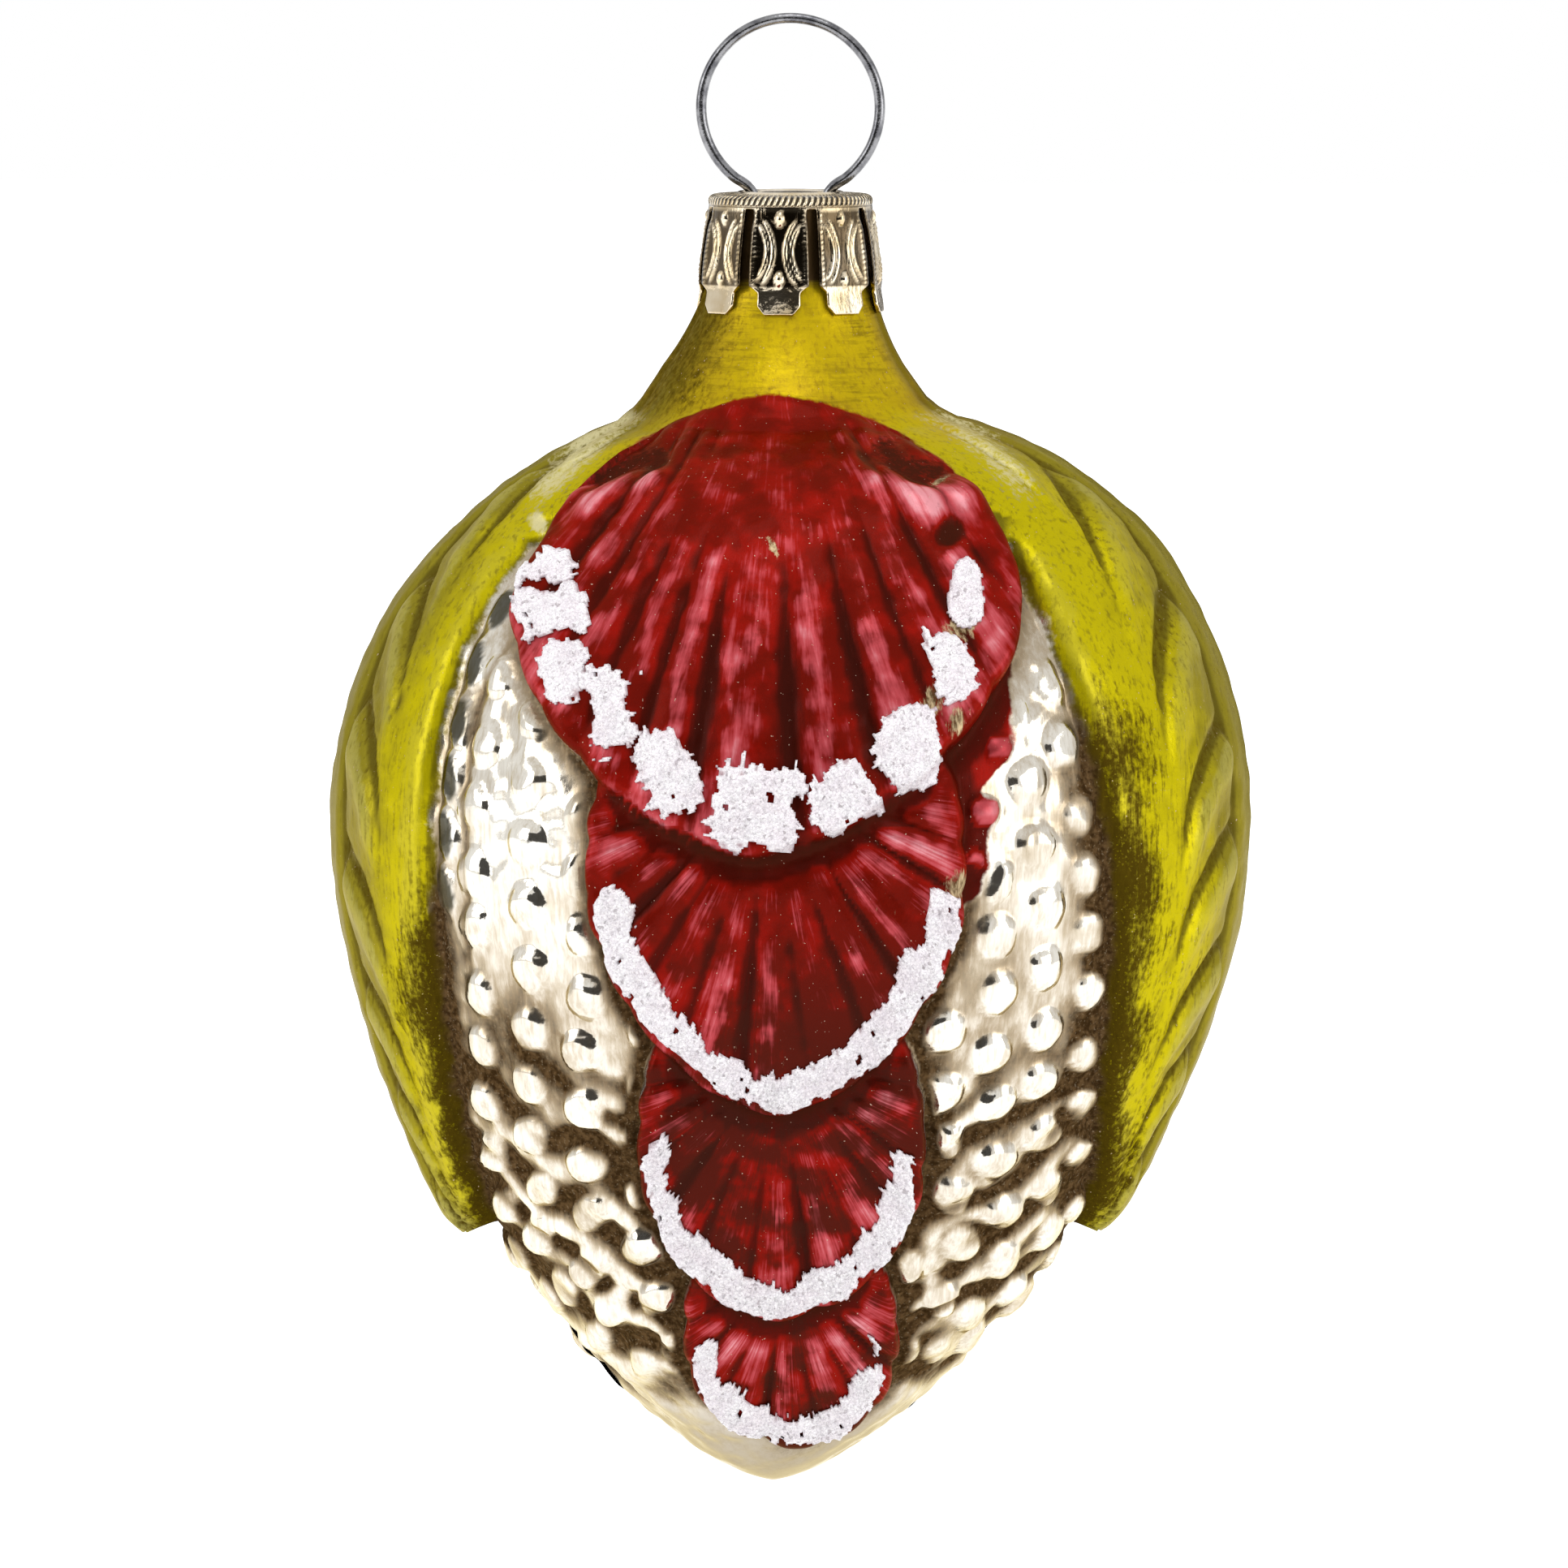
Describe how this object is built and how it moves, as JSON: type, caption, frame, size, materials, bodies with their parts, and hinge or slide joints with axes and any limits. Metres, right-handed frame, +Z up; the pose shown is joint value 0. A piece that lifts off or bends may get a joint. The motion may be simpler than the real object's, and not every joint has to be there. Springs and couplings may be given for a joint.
{
  "type": "egg ornament",
  "caption": "Hollow glass egg with overlapping relief shells and side leaves, in a stamped prong cap, hung by a sprung wire ring.",
  "frame": {"origin": "hook point: inside the top of the wire ring, where the ornament hangs", "axes": "+Z up, -Y towards the front column of shells, +X to the viewer's right"},
  "size_m": [0.0522, 0.0508, 0.0843],
  "materials": {
    "wire": "drawn steel wire, bright",
    "cap": "thin stamped sheet, champagne silver plating",
    "glass": "blown glass silvered inside, red and green-gold lacquer over shells and leaves, brown patina in the hollows",
    "glitter": "white paint with crushed glass"
  },
  "bodies": {
    "hanger": {"hanger": "wire"},
    "cap": {"cap": "cap"},
    "glass": {"glass_body": "glass", "glitter_dab_front_01": "glitter", "glitter_dab_front_02": "glitter", "glitter_dab_front_03": "glitter", "glitter_dab_front_04": "glitter", "glitter_dab_front_05": "glitter", "glitter_dab_front_06": "glitter", "glitter_dab_front_07": "glitter", "glitter_dab_front_08": "glitter", "glitter_dab_front_09": "glitter", "glitter_dab_front_10": "glitter", "glitter_dab_back_01": "glitter", "glitter_dab_back_02": "glitter", "glitter_dab_back_03": "glitter", "glitter_dab_back_04": "glitter", "glitter_dab_back_05": "glitter", "glitter_dab_back_06": "glitter", "glitter_dab_back_07": "glitter", "glitter_dab_back_08": "glitter", "glitter_dab_back_09": "glitter", "glitter_dab_back_10": "glitter", "glitter_band_front_2": "glitter", "glitter_band_front_3": "glitter", "glitter_band_front_4": "glitter", "glitter_band_back_2": "glitter", "glitter_band_back_3": "glitter", "glitter_band_back_4": "glitter"}
  },
  "joints": [
    {"name": "ring_tilt", "type": "hinge", "parent": "hanger", "child": "cap", "pos_m": [0, 0, -0.0098], "axis": [1, 0, 0], "range_deg": [-12, 12]},
    {"name": "glass_pull", "type": "slide", "parent": "cap", "child": "glass", "axis": [0, 0, -1], "range_m": [0, 0.018]}
  ]
}
